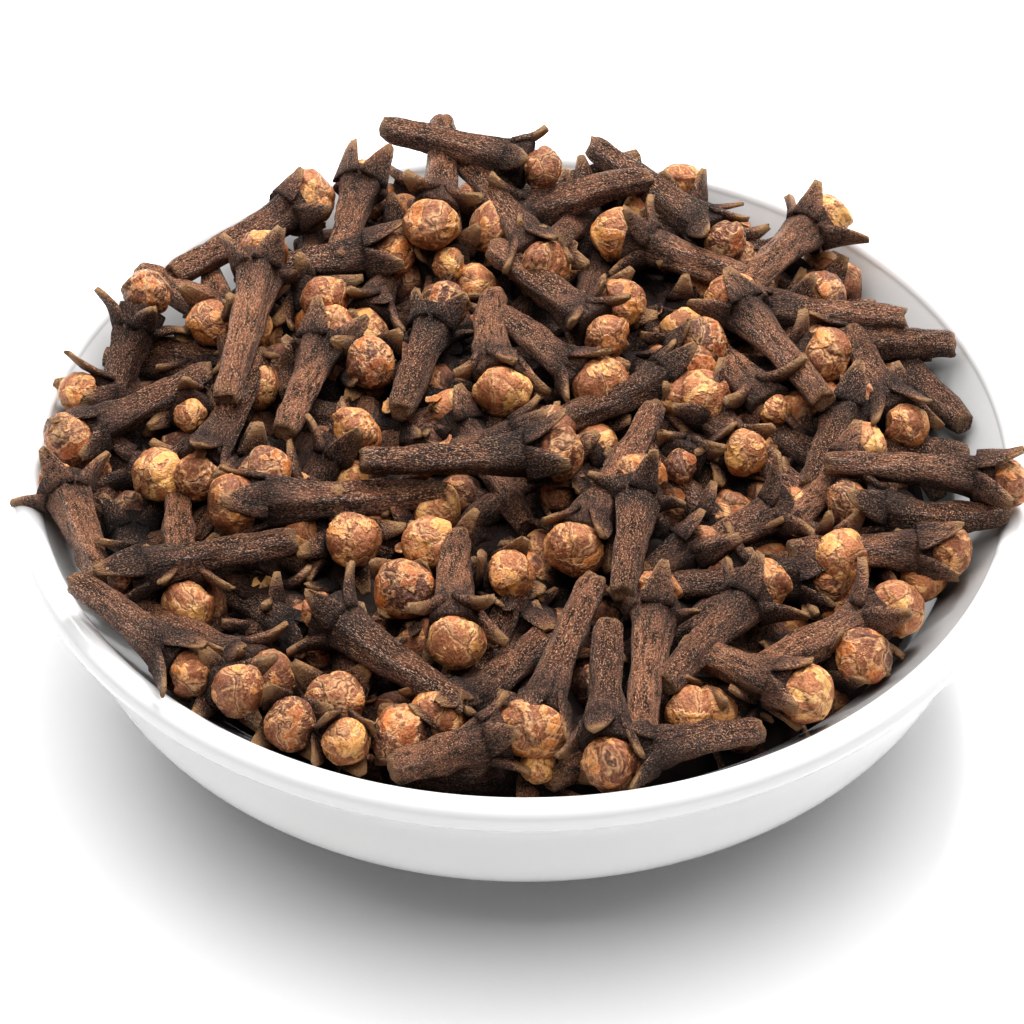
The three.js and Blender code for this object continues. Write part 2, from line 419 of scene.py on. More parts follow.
# cloves that lie on the heap: x, y, height over its surface, heading of the bud, stem end to bud, tilt
lying = [
    (-20, -16, -4, -39, 12), (16, -9, -3, 28, 12), (17, -14, -3, 4, 12), (-26, -11, -2, -84, 11),
    (-2, -24, -2, -134, 12), (24, 0, -2, 67, 11), (-5, -33, -2, 20, 10), (12, -32, -2, -163, 11),
    (23, -5, -2, 52, 11), (-24, -20, -2, -35, 12), (29, 12, -2, -178, 11), (17, 7, -2, -57, 11),
    (-14, -8, -1, -174, 16), (31, -8, -1, 176, 12), (26, -12, -1, 3, 12), (28, 7, -1, -70, 11),
    (-2, 9, -1, -86, 11), (2, 8, -1, -47, 11), (8, 3, -1, 32, 12), (14, 20, -1, 153, 14),
    (-17, 20, -1, 7, 13), (-26, 16, -1, -37, 13), (24, 14, -1, 177, 13), (-23, 2, -1, -109, 14),
    (-17, 5, -1, 75, 12), (-29, -22, -1, -40, 12, -8), (-8, 7, -1, 76, 13), (7, -6, -1, -114, 16),
    (6, -29, -1, -91, 12, -6), (22, -21, -1, 29, 13), (-14, 25, 0, 79, 11), (4, 26, 0, -156, 14),
    (21, 20, 0, 52, 12), (-23, 23, 0, 39, 14), (-30, 3, 0, -141, 13), (-34, -10, 0, 110, 12),
    (2, 14, 0, -51, 14), (11, 28, 0, -49, 16), (20, 8, 0, 119, 14), (8, -13, 0, 83, 13),
    (9, -25, 0, 84, 15), (30, -6, 0, -6, 14), (-24, -14, 0, -165, 14), (-5, -18, 0, -90, 11),
    (14, -22, 0, 53, 13), (16, -25, 0, -26, 10), (3, -24, 0, -107, 15), (-10, -24, 0, 140, 15),
    (-22, 10, 1, 82, 17), (-2, 24, 1, -63, 15), (-5, -6, 1, 1, 15), (-7, 28, 2, -93, 13),
    (-5, 30, 3, -22, 14),
]

# a seeded row of numbers, the same in each run
drawn = spread["seed"]
drawStep = 16807
drawRange = 2147483647


def draw(low, high):
    global drawn
    drawn = drawn * drawStep % drawRange
    return low + (high - low) * drawn / drawRange


def heapHeight(x, y):
    part = min(hypot(x, y) / heap["radius"], 1)
    return bowlHeight + heap["edgeLift"] + heap["rise"] * (1 - part * part) + heap["lean"] * y


# the lowest that a clove may reach inside the bowl
def linedHeight(radius):
    outer = radius + heap["clearance"]
    if outer < cavityRadius:
        power = bowl["cavitySquareness"]
        rise = 1 - (1 - (outer / cavityRadius) ** power) ** (1 / power)
        return bowl["floorTop"] + (cavityTop - bowl["floorTop"]) * rise + heap["clearance"]
    flare = (outer - cavityRadius) / (bowl["lipMiddle"] - cavityRadius)
    return cavityTop + (bowlHeight - cavityTop) * min(flare, 1) + heap["clearance"]


# the height of what is laid so far, in cells
fieldSize = round(2 * spread["reach"] / spread["cell"])
field = [0.0] * (fieldSize * fieldSize)


def fieldIndex(x, y):
    column = floor((x + spread["reach"]) / spread["cell"])
    row = floor((y + spread["reach"]) / spread["cell"])
    return row * fieldSize + column


def layBed():
    for row in range(fieldSize):
        for column in range(fieldSize):
            x = (column + 0.5) * spread["cell"] - spread["reach"]
            y = (row + 0.5) * spread["cell"] - spread["reach"]
            bed = heapHeight(x, y) - heap["bedDepth"]
            field[row * fieldSize + column] = max(bed, linedHeight(hypot(x, y)))


def cloveRadius(along, length):
    if along > -clove["calyxDrop"]:
        return sqrt(max(clove["budRadius"] ** 2 - along * along, sweeps["leastSquare"]))
    if along > -clove["calyxDrop"] - clove["calyxLength"]:
        return clove["calyxRadius"]
    end = clove["stemEndRadius"]
    return end + (clove["stemTopRadius"] - end) * (along + length) / length


def sweep(one, alongStep, acrossSteps):
    heading = radians(one["heading"])
    pitch = radians(one["pitch"])
    length = one["length"]
    along = -length
    while along <= clove["budRadius"]:
        radius = cloveRadius(along, length)
        out = (along + length / 2) * cos(pitch)
        rise = (along + length / 2) * sin(pitch)
        for i in range(-acrossSteps, acrossSteps + 1):
            across = sweeps["width"] * radius * i / acrossSteps
            x = one["x"] + out * cos(heading) - across * sin(heading)
            y = one["y"] + out * sin(heading) + across * cos(heading)
            yield x, y, rise, sqrt(radius * radius - across * across) / cos(pitch)
        along += alongStep


def settle(one):
    best = {"lowest": inf}
    for pitch in range(-spread["steepest"], spread["steepest"] + 1, spread["tiltStep"]):
        tilted = {**one, "pitch": pitch}
        z = max(field[fieldIndex(x, y)] + half - rise
                for x, y, rise, half in sweep(tilted, *sweeps["coarse"]))
        lowest = z + one["length"] / judgedShare * sin(radians(pitch))
        if lowest < best["lowest"]:
            best = {**tilted, "z": z, "lowest": lowest}
    return best


def stamp(one):
    for x, y, rise, half in sweep(one, *sweeps["fine"]):
        index = fieldIndex(x, y)
        field[index] = max(field[index], one["z"] + rise + half - heap["bite"])


def fits(one):
    heading = radians(one["heading"])
    ends = (-one["length"] / 2, one["length"] / 2 + clove["budRadius"])
    return all(
        hypot(one["x"] + along * cos(heading), one["y"] + along * sin(heading)) < spread["fillRadius"]
        for along in ends)


def fillClove():
    length = draw(*spread["fillLength"])
    best = None
    for i in range(spread["tries"]):
        around = draw(0, 2 * pi)
        radius = spread["fillRadius"] * sqrt(draw(0, 1))
        one = {
            "length": length,
            "heading": draw(0, 360),
            "x": radius * cos(around),
            "y": radius * sin(around),
        }
        if fits(one):
            settled = settle(one)
            settled["depth"] = heapHeight(one["x"], one["y"]) - settled["lowest"]
            if best is None or settled["depth"] > best["depth"]:
                best = settled
    return best


def keepOffBowl(one):
    touching = max(linedHeight(hypot(x, y)) + half - rise
                   for x, y, rise, half in sweep(one, *sweeps["coarse"]))
    return {**one, "z": max(one["z"], touching)}


def buriedClove(budX, budY, heading):
    pitch = draw(*spread["budPitch"])
    out = spread["budLength"] / 2 * cos(radians(pitch))
    return keepOffBowl({
        "heading": heading,
        "pitch": pitch,
        "length": spread["budLength"],
        "x": budX - out * cos(radians(heading)),
        "y": budY - out * sin(radians(heading)),
        "z": heapHeight(budX, budY) - spread["budSink"] - out * tan(radians(pitch)),
    })


def lyingClove(x, y, lift, heading, length, tilt=0):
    slope = degrees(atan(heap["lean"] * sin(radians(heading))))
    return keepOffBowl({
        "heading": heading,
        "pitch": slope + tilt + draw(-spread["wobble"], spread["wobble"]),
        "length": length,
        "x": x,
        "y": y,
        "z": heapHeight(x, y) + lift,
    })


def tuckedClove(i):
    radius = tucked["radius"] * sqrt((i + 0.5) / tucked["count"])
    x, y = radius * cos(i * tucked["turn"]), radius * sin(i * tucked["turn"])
    one = {"x": x, "y": y, "length": draw(*tucked["length"]), "heading": draw(0, 360)}
    for attempt in range(spread["tries"]):
        if not fits(one):
            one["heading"] = draw(0, 360)
    return keepOffBowl({
        **one,
        "pitch": draw(*tucked["pitch"]),
        "z": heapHeight(x, y) - draw(*tucked["depth"]),
    })


def layOut():
    layers = {"fill": [], "buried": [], "lying": []}

    def lay(layer, one):
        stamp(one)
        layers[layer].append({**one, "roll": draw(*spread["roll"])})

    layBed()
    for i in range(spread["fillCount"]):
        lay("fill", fillClove())
    for row in buried:
        lay("buried", buriedClove(*row))
    for row in lying:
        lay("lying", lyingClove(*row))
    for i in range(tucked["count"]):
        one = tuckedClove(i)
        if one["z"] < heapHeight(one["x"], one["y"]) - tucked["highest"]:
            lay("fill", one)
    return layers


layers = layOut()
print("places of", sum(len(layer) for layer in layers.values()), "cloves")


# grain gives each clove its own stretch of every pattern, tint its own shade of brown;
# shade is above 0 where it is tan and below 0 where it is dark, which is partly painted shade
# deep in the heap, under petal edges and in creases
def cloveInputs(tree):
    grain = addNode(tree, "ShaderNodeAttribute", attribute_name="grain").outputs["Vector"]
    shade = addNode(tree, "ShaderNodeAttribute", attribute_name="shade").outputs["Fac"]
    tint = addNode(tree, "ShaderNodeAttribute", attribute_name="tint").outputs["Fac"]
    return grain, shade, tint


# lays one color over the base where a pattern lies between its stops
def addStain(tree, base, source, stain):
    return addMix(tree, addMask(tree, source, stain["mask"]), base, stain["color"])


# the ends and edges go tan; where shade is below 0 the colour is darkened and dulled, painted shade
# deep in the heap, under petal edges and in creases, and a darker tone at the stem's top, the lobes'
# roots and on crumbs
def shadeClove(tree, shader, base, shade, finish):
    low = addMath(tree, "MULTIPLY", shade, -1, clamp=True)
    high = addMath(tree, "MULTIPLY", shade, 1, clamp=True)
    base = addMix(tree, low, base, finish["dark"], "MULTIPLY")
    base = addMix(tree, high, base, finish["tan"])
    tree.links.new(base, shader.inputs["Base Color"])
    duller = addMath(tree, "MULTIPLY", low, finish["dullest"] - finish["roughness"])
    tree.links.new(addMath(tree, "ADD", duller, finish["roughness"]), shader.inputs["Roughness"])
    shader.inputs["Specular IOR Level"].default_value = finish["specular"]


stemFinish = {
    "speckStretch": (1, 1, 0.6),
    "speck": (9, 3, 0.7),
    "foldStretch": (1, 1, 0.22),
    "fold": (2.2, 3, 0.65),
    "patch": (0.45, 3, 0.6),
    "patchWeight": 0.7,
    "tintWeight": 0.3,
    "browns": [(0.32, (0.096, 0.040, 0.029)), (0.50, (0.27, 0.113, 0.069)),
               (0.68, (0.53, 0.238, 0.134))],
    # darker in the fold valleys: partly the stem's own colour, partly painted shade in them
    "foldDarkAndShade": {"mask": [(0.38, 0.85), (0.52, 0)], "color": (0.020, 0.011, 0.009)},
    # dark pits: partly the stem's own colour, partly painted shade in them
    "darkPitsAndShade": {"mask": [(0.36, 0.75), (0.50, 0)], "color": (0.018, 0.010, 0.008)},
    # tan flecks on the raised grain: partly the stem's own colour, partly painted glints
    "lightFlecksAndGlints": {"mask": [(0.53, 0), (0.64, 0.9)], "color": (0.95, 0.56, 0.33)},
    # the colour multiplied in where shade is below 0, mostly painted shade
    "dark": (0.13, 0.115, 0.12),
    "tan": (0.62, 0.35, 0.17),
    "roughness": 0.4,
    "dullest": 0.95,
    "specular": 0.5,
    "speckRelief": 0.8,
    "foldRelief": 1.2,
    "bumpStrength": 1.0,
    "bumpDepth": 0.0009,
}


def makeStemMaterial():
    finish = stemFinish
    material, tree, shader = newMaterial("cloveStem")
    grain, shade, tint = cloveInputs(tree)
    speck = addNoise(tree, addMapping(tree, grain, finish["speckStretch"]), *finish["speck"])
    fold = addNoise(tree, addMapping(tree, grain, finish["foldStretch"]), *finish["fold"])
    patch = addNoise(tree, grain, *finish["patch"])
    mixed = addSum(tree, (patch, finish["patchWeight"]), (tint, finish["tintWeight"]))
    base = addRamp(tree, mixed, finish["browns"])
    # darker in the valleys and pits and lighter on the raised grain: own colour with painted shade and
    # painted glints
    base = addStain(tree, base, fold, finish["foldDarkAndShade"])
    base = addStain(tree, base, speck, finish["darkPitsAndShade"])
    base = addStain(tree, base, speck, finish["lightFlecksAndGlints"])
    shadeClove(tree, shader, base, shade, finish)
    height = addSum(tree, (speck, finish["speckRelief"]), (fold, finish["foldRelief"]))
    addBump(tree, shader, height, finish["bumpStrength"], finish["bumpDepth"])
    return material


def addCells(tree, vector, feature, scale):
    node = addNode(tree, "ShaderNodeTexVoronoi", feature=feature)
    node.inputs["Scale"].default_value = scale
    tree.links.new(vector, node.inputs["Vector"])
    return node


budFinish = {
    "patch": (0.3, 2, 0.5),
    "skinStretch": (1, 1, 0.5),
    "skin": (0.55, 4, 0.6),
    "thread": (4.5, 4, 0.7),
    "swayScale": 0.7,
    "sway": 0.8,
    "cellScale": 0.27,
    "cellMiddle": 0.5,
    "patchWeight": 0.55,
    "tintWeight": 0.45,
    "cellWeight": 0.3,
    "golden": [(0.26, (0.40, 0.110, 0.034)), (0.48, (0.72, 0.248, 0.066)),
               (0.74, (0.98, 0.52, 0.17))],
    "purple": [(0.26, (0.100, 0.031, 0.020)), (0.74, (0.52, 0.175, 0.074))],
    "torn": [(0.44, 0), (0.50, 0.9)],
    "tornRim": {"mask": [(0.41, 0), (0.45, 0.5), (0.48, 0)], "color": (0.98, 0.66, 0.36)},
    "darkThreads": {"mask": [(0.34, 0.55), (0.46, 0)], "color": (0.060, 0.020, 0.011)},
    "lightThreads": {"mask": [(0.51, 0), (0.66, 0.4)], "color": (0.95, 0.58, 0.28)},
    "petalRim": [(0.010, 0), (0.030, 0.5), (0.07, 0)],
    "petalRimSkin": [(0.44, 0), (0.56, 1)],
    "petalRimColor": (0.95, 0.62, 0.30),
    "seam": {"mask": [(0.0, 0.4), (0.016, 0)], "color": (0.060, 0.022, 0.012)},
    # the colour multiplied in where shade is below 0, mostly painted shade
    "dark": (0.11, 0.085, 0.085),
    "tan": (0.88, 0.55, 0.25),
    "roughness": 0.33,
    "dullest": 0.95,
    "specular": 0.55,
    "threadRelief": 0.4,
    "skinRelief": 0.8,
    "cellRelief": 0.25,
    "seamSlope": [(0.0, 0), (0.06, 1)],
    "seamRelief": 0.1,
    "tornRelief": -0.35,
    "bumpStrength": 1.0,
    "bumpDepth": 0.00048,
}


def makeBudMaterial():
    finish = budFinish
    material, tree, shader = newMaterial("cloveBud")
    grain, shade, tint = cloveInputs(tree)
    patch = addNoise(tree, grain, *finish["patch"])
    skin = addNoise(tree, addMapping(tree, grain, finish["skinStretch"]), *finish["skin"])
    thread = addNoise(tree, grain, *finish["thread"])

    # the petals are cells with swaying edges
    sway = addNode(tree, "ShaderNodeTexNoise")
    sway.inputs["Scale"].default_value = finish["swayScale"]
    tree.links.new(grain, sway.inputs["Vector"])
    warped = addMix(tree, finish["sway"], grain, sway.outputs["Color"], "LINEAR_LIGHT")
    petal = addCells(tree, warped, "F1", finish["cellScale"]).outputs["Color"]
    seam = addCells(tree, warped, "DISTANCE_TO_EDGE", finish["cellScale"]).outputs["Distance"]

    # golden flesh under a purple skin that is torn in places
    offMiddle = addMath(tree, "SUBTRACT", petal, finish["cellMiddle"])
    mixed = addSum(tree, (patch, finish["patchWeight"]), (tint, finish["tintWeight"]),
                   (offMiddle, finish["cellWeight"]))
    golden = addRamp(tree, mixed, finish["golden"])
    purple = addRamp(tree, mixed, finish["purple"])
    torn = addMask(tree, skin, finish["torn"])
    base = addMix(tree, torn, golden, purple)
    base = addStain(tree, base, skin, finish["tornRim"])
    base = addStain(tree, base, thread, finish["darkThreads"])
    base = addStain(tree, base, thread, finish["lightThreads"])
    rim = addMath(tree, "MULTIPLY", addMask(tree, seam, finish["petalRim"]),
                  addMask(tree, skin, finish["petalRimSkin"]))
    base = addMix(tree, rim, base, finish["petalRimColor"])
    base = addStain(tree, base, seam, finish["seam"])
    shadeClove(tree, shader, base, shade, finish)

    seamSlope = addMask(tree, seam, finish["seamSlope"])
    height = addSum(tree, (thread, finish["threadRelief"]), (skin, finish["skinRelief"]),
                    (petal, finish["cellRelief"]), (seamSlope, finish["seamRelief"]),
                    (torn, finish["tornRelief"]))
    addBump(tree, shader, height, finish["bumpStrength"], finish["bumpDepth"])
    return material


def newShape(withPatterns=False):
    bm = bmesh.new()
    bm.verts.layers.float.new("shade")
    if withPatterns:
        bm.verts.layers.float.new("tint")
        bm.verts.layers.float_vector.new("grain")
    return bm


# which of a clove's materials a part has
stemIndex, budIndex = 0, 1


def joinPart(whole, part, materialIndex):
    for face in part.faces:
        face.material_index = materialIndex
    mesh = bpy.data.meshes.new("part")
    part.to_mesh(mesh)
    part.free()
    whole.from_mesh(mesh)
    bpy.data.meshes.remove(mesh)


# an upright rod of radius and height 1 around the origin
def createRod(bm, segments, rings):
    bmesh.ops.create_cone(bm, cap_ends=True, segments=segments, radius1=1, radius2=1, depth=1)
    upright = [edge for edge in bm.edges if abs(edge.verts[0].co.z - edge.verts[1].co.z) > 0.5]
    bmesh.ops.subdivide_edges(bm, edges=upright, cuts=rings, use_grid_fill=True)


# a clove is shaped at this length, and only its stem is stretched to the length of each
shaped = {"length": 14, "headLength": 3.5}

# spans run over the stem's length, from 0 at its cut end to 1 under the bud;
# folds are how often they repeat around and along the stem
stem = {
    "intoBud": 0.3,
    "taper": 0.7,
    "flare": 0.45,
    "flareSpan": (0.6, 0.97),
    "sides": 4,
    "squareness": 0.12,
    "squareAtEnd": 0.4,
    "squareGain": 0.6,
    "wrinkle": 0.25,
    "broadFolds": (1.3, 3.5),
    "fineFolds": (3.5, 7),
    "fineShare": 0.75,
    "capInset": 0.35,
    "capSpan": 0.001,
    "capDome": 0.3,
    "capRoughness": 0.35,
    "endRounding": 0.14,
    "endSpan": (0.05, 0.0),
    "endTan": 0.45,
    "endTanSpan": (0.06, 0.0),
    "topShade": 0.8,
    "topShadeSpan": (0.6, 0.92),
}


def addStem(whole, detail, offset):
    bm = newShape()
    segments, rings = detail["stem"]
    createRod(bm, segments, rings)
    caps = [face for face in bm.faces if len(face.verts) == segments]
    bmesh.ops.inset_region(bm, faces=caps, thickness=stem["capInset"], use_even_offset=True)
    top = shaped["length"] - clove["calyxDrop"] + stem["intoBud"]
    end = clove["stemEndRadius"]
    broadAround, broadAlong = stem["broadFolds"]
    fineAround, fineAlong = stem["fineFolds"]
    shadeLayer = bm.verts.layers.float["shade"]
    for vert in bm.verts:
        part = vert.co.z + 0.5
        angle = atan2(vert.co.y, vert.co.x)
        across = hypot(vert.co.x, vert.co.y)
        turnX, turnY = cos(angle), sin(angle)
        radius = end + (clove["stemTopRadius"] - end) * part ** stem["taper"]
        radius += stem["flare"] * smoothStep(*stem["flareSpan"], part)
        squareShare = stem["squareAtEnd"] + stem["squareGain"] * part
        radius *= 1 + stem["squareness"] * cos(stem["sides"] * angle) * squareShare
        folds = noiseAt(turnX * broadAround, turnY * broadAround, part * broadAlong + offset)
        folds += stem["fineShare"] * noiseAt(
            turnX * fineAround, turnY * fineAround, part * fineAlong - offset)
        radius += stem["wrinkle"] * folds
        radius *= 1 - stem["endRounding"] * smoothStep(*stem["endSpan"], part)
        z = part * top
        if part < stem["capSpan"]:
            z += (stem["capDome"] * (1 - across)
                  + stem["capRoughness"] * noiseAt(turnX, turnY, offset * 3))
        vert.co = Vector((turnX * radius * across, turnY * radius * across, z))
        vert[shadeLayer] = (stem["endTan"] * smoothStep(*stem["endTanSpan"], part)
                            - stem["topShade"] * smoothStep(*stem["topShadeSpan"], part))
    joinPart(whole, bm, stemIndex)


# pairs of capAngle, capReach are a middle value and how much it varies, in degrees;
# edge, shadow and rim run from outside a petal's edge to inside it, in degrees
bud = {
    "petals": 4,
    "capAngle": (44, 14),
    "capReach": (58, 12),
    "capTurn": 0.5,
    "edge": (-3, 3),
    "shadow": (-9, -2),
    "rim": (9, 2),
    "petalStep": 0.34,
    "firstStep": 0.25,
    "stepGain": 0.25,
    "stepSunk": 0.6,
    "tornScale": 1.3,
    "tornSpan": (-0.15, 0.25),
    "bulge": 0.11,
    "bulgeScale": 1.4,
    "dent": 0.05,
    "dentScale": 4,
    "crease": 0.09,
    "creaseScale": 2.3,
    "creaseSpan": (0.1, 0.0),
    "squat": 0.86,
    "squatSpread": 0.15,
    "point": 0.8,
    "pointPower": 5,
    "rimTan": 0.5,
    "petalShade": 0.6,
    "creaseShade": 0.4,
    "fullShare": 0.9,
    "sinkRate": 1.2,
}

# every so many variants one has a bud that is nearly gone, the others grow in steps
budSizes = {"every": 11, "at": 7, "shrunken": 1.35, "smallest": 0.87, "step": 0.055, "steps": 5}


def petalCaps(offset):
    caps = []
    polarMiddle, polarSpread = bud["capAngle"]
    reachMiddle, reachSpread = bud["capReach"]
    for k in range(bud["petals"]):
        polar = radians(polarMiddle + polarSpread * noiseAt(offset, k * 3.3, 1.5))
        around = k * 2 * pi / bud["petals"]
        angle = around + offset + bud["capTurn"] * noiseAt(k * 2.1, offset, 9)
        middle = Vector((sin(polar) * cos(angle), sin(polar) * sin(angle), cos(polar)))
        caps.append((middle, radians(reachMiddle + reachSpread * noiseAt(4.4, offset, k * 1.9))))
    return caps


def addBud(whole, detail, offset, size):
    bm = newShape()
    segments, rings = detail["bud"]
    bmesh.ops.create_uvsphere(bm, u_segments=segments, v_segments=rings, radius=1)
    shadeLayer = bm.verts.layers.float["shade"]
    caps = petalCaps(offset)
    squat = bud["squat"] + bud["squatSpread"] * noiseAt(offset, 6.1, 2.2)
    point = max(0, bud["point"] * noiseAt(1.7, offset, 3.3))
    missing = max(clove["budRadius"] * bud["fullShare"] - size, 0)
    middleHeight = shaped["length"] - bud["sinkRate"] * missing
    tornPlace = Vector((3, offset, 1))
    bulgePlace = Vector((offset, 0, 0))
    dentPlace = Vector((0, offset, 0))
    creasePlace = Vector((offset, offset, 5))
    for vert in bm.verts:
        direction = vert.co.normalized()
        step, shadow, rim = 0, 0, 0
        for k, (middle, reach) in enumerate(caps):
            inside = degrees(reach - direction.angle(middle, 0))
            if inside > bud["shadow"][0]:
                cover = smoothStep(*bud["edge"], inside)
                height = bud["petalStep"] * (bud["firstStep"] + bud["stepGain"] * k)
                step = step * (1 - cover) + height * cover
                shadow = shadow * (1 - cover) + smoothStep(*bud["shadow"], inside) * (1 - cover)
                rim = rim * (1 - cover) + cover * smoothStep(*bud["rim"], inside)
        torn = smoothStep(*bud["tornSpan"], noise.noise(direction * bud["tornScale"] + tornPlace))
        radius = size * (1 + bud["bulge"] * noise.noise(direction * bud["bulgeScale"] + bulgePlace))
        radius += bud["dent"] * noise.noise(direction * bud["dentScale"] + dentPlace)
        crease = smoothStep(*bud["creaseSpan"],
                            abs(noise.noise(direction * bud["creaseScale"] + creasePlace)))
        radius += step - bud["petalStep"] * bud["stepSunk"] - bud["crease"] * crease
        radius += point * max(0, direction.z) ** bud["pointPower"]
        z = middleHeight + direction.z * radius * squat
        vert.co = Vector((direction.x * radius, direction.y * radius, z))
        vert[shadeLayer] = (bud["rimTan"] * rim * torn - bud["petalShade"] * shadow * torn
                            - bud["creaseShade"] * crease)
    joinPart(whole, bm, budIndex)


# calyx lobes, from those that hug the bud to those that stand off
lobe = {
    "length": (3.3, 3.4),
    "width": (1.45, 1.2),
    "thickness": (0.36, 0.56),
    "root": (1.7, 1.35),
    "lean": (16, 50),
    "drop": (0.8, 1.5),
}

# the form that all lobes share and how much they vary; openings are the steps from hugging to
# standing off
lobeForm = {
    "count": 4,
    "openings": 4,
    "lengthSpread": 0.4,
    "leanSpread": 24,
    "sway": 0.35,
    "turn": 0.25,
    "bendAtRoot": 0.75,
    "bendGain": 0.35,
    "thinning": 0.5,
    "narrowing": 0.72,
    "narrowingPower": 1.4,
    "ripple": 0.15,
    "curl": 0.35,
    "sideSpan": (0.6, 1),
    "innerSpan": (0.2, -0.6),
    "tipTan": 0.75,
    "tipSpan": (0.6, 1.0),
    "edgeTan": 0.8,
    "rootShade": 0.85,
}


def addLobes(whole, detail, offset, looseness):
    segments, rings = detail["lobe"]
    pick = {key: near + (far - near) * looseness for key, (near, far) in lobe.items()}
    for k in range(lobeForm["count"]):
        bm = newShape()
        shadeLayer = bm.verts.layers.float["shade"]
        createRod(bm, segments, rings)
        sway = noiseAt(k * 3.1, offset, 0.5)
        length = pick["length"] * (1 + lobeForm["lengthSpread"] * noiseAt(offset, k * 2.3, 7))
        lean = radians(pick["lean"] + lobeForm["leanSpread"] * noiseAt(offset * 2, k * 5.1, 3))
        for vert in bm.verts:
            part = vert.co.z + 0.5
            side, face = vert.co.y, vert.co.x
            bend = lean * (lobeForm["bendAtRoot"] + lobeForm["bendGain"] * part)
            thickness = pick["thickness"] * (1 - lobeForm["thinning"] * part)
            narrowed = lobeForm["narrowing"] * part ** lobeForm["narrowingPower"]
            width = pick["width"] * (1 - narrowed)
            out = length * part * sin(bend) + face * thickness * cos(bend)
            rise = length * part * cos(bend) - face * thickness * sin(bend)
            ripple = lobeForm["ripple"] * noiseAt(part * 3, side * 2, offset + k)
            rise += lobeForm["curl"] * part * noiseAt(side * 1.6, k * 2.7, offset)
            vert.co = Vector((pick["root"] + out + ripple,
                              side * width + lobeForm["sway"] * sway * part, rise))
            edge = (smoothStep(*lobeForm["sideSpan"], abs(side))
                    + smoothStep(*lobeForm["innerSpan"], face))
            vert[shadeLayer] = (lobeForm["tipTan"] * smoothStep(*lobeForm["tipSpan"], part)
                                + lobeForm["edgeTan"] * edge * part
                                - lobeForm["rootShade"] * (1 - part))
        around = k * 2 * pi / lobeForm["count"]
        turn = Matrix.Rotation(around + lobeForm["turn"] * sway, 4, "Z")
        lift = Matrix.Translation((0, 0, shaped["length"] - clove["calyxDrop"] - pick["drop"]))
        bmesh.ops.transform(bm, matrix=lift @ turn, verts=bm.verts)
        joinPart(whole, bm, stemIndex)


# segments around and rings along
fine = {"stem": (20, 28), "bud": (60, 32), "lobe": (12, 5)}
plain = {"stem": (9, 7), "bud": (18, 10), "lobe": (6, 2)}

# how much one clove differs from the next
variety = {
    "seedStep": 2.37,
    "shapeStep": 7,
    "tintStep": 0.618,
    "bend": 1.25,
    "girth": 0.12,
}

# painted shade: how far down in the heap the cloves are painted darker and duller
depthShade = {"depth": (0.8, 5.6), "most": 0.9}


def tintOf(number):
    return number * variety["tintStep"] % 1


# wrapped, so that the patterns stay near the middle of their space
def grainShift(number):
    return Vector((number * 7.3 % 97, number * 3.1 % 89, number * 5.9 % 83))


def makeVariant(detail, number):
    bm = newShape()
    offset = number * variety["seedStep"]
    addStem(bm, detail, offset)
    if number % budSizes["every"] == budSizes["at"]:
        size = budSizes["shrunken"]
    else:
        share = budSizes["smallest"] + budSizes["step"] * (number % budSizes["steps"])
        size = clove["budRadius"] * share
    addBud(bm, detail, offset, size)
    openings = lobeForm["openings"]
    addLobes(bm, detail, offset, number % openings / (openings - 1))
    bmesh.ops.recalc_face_normals(bm, faces=bm.faces)
    mesh = bpy.data.meshes.new("cloveShape")
    bm.to_mesh(mesh)
    bm.free()
    return mesh


def placeMatrix(one):
    turn = Matrix.Rotation(radians(one["heading"]), 4, "Z")
    tilt = Matrix.Rotation(radians(90 - one["pitch"]), 4, "Y")
    roll = Matrix.Rotation(radians(one["roll"]), 4, "Z")
    return Matrix.Translation((one["x"], one["y"], one["z"])) @ turn @ tilt @ roll


def addClove(bm, variant, one, number):
    before = len(bm.verts)
    bm.from_mesh(variant)
    bm.verts.ensure_lookup_table()
    shadeLayer = bm.verts.layers.float["shade"]
    tintLayer = bm.verts.layers.float["tint"]
    grainLayer = bm.verts.layers.float_vector["grain"]
    tint, shift = tintOf(number), grainShift(number)
    bend = variety["bend"] * noiseAt(number * 0.9, 1.3, 8.8)
    girth = 1 + variety["girth"] * noiseAt(2.2, number * 1.3, 5.1)
    stemTop = shaped["length"] - shaped["headLength"]
    stretch = (one["length"] - shaped["headLength"]) / stemTop
    longer = one["length"] - shaped["length"]
    place = placeMatrix(one)
    for vert in bm.verts[before:]:
        x, y, z = vert.co
        vert[grainLayer] = vert.co + shift
        vert[tintLayer] = tint
        z = z * stretch if z < stemTop else longer + z
        part = z / one["length"]
        sway = bend * 4 * part * (1 - part)
        vert.co = place @ Vector((x * girth + sway, y * girth, z - one["length"] / 2))
        under = heapHeight(vert.co.x, vert.co.y) - vert.co.z
        # painted shade: the deeper a vertex lies under the heap's surface, the darker it is painted
        vert[shadeLayer] -= depthShade["most"] * smoothStep(*depthShade["depth"], under)


def makeCloves(name, layer, detail, shapes, numberFrom):
    variants = [makeVariant(detail, numberFrom + i) for i in range(shapes)]
    bm = newShape(withPatterns=True)
    for i, one in enumerate(layer):
        addClove(bm, variants[i * variety["shapeStep"] % shapes], one, numberFrom + i)
    piece = finishPiece(bm, name, [stemMaterial, budMaterial])
    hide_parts("cloves")
    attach(piece, "root")
    print(name, len(piece.data.polygons), "faces")


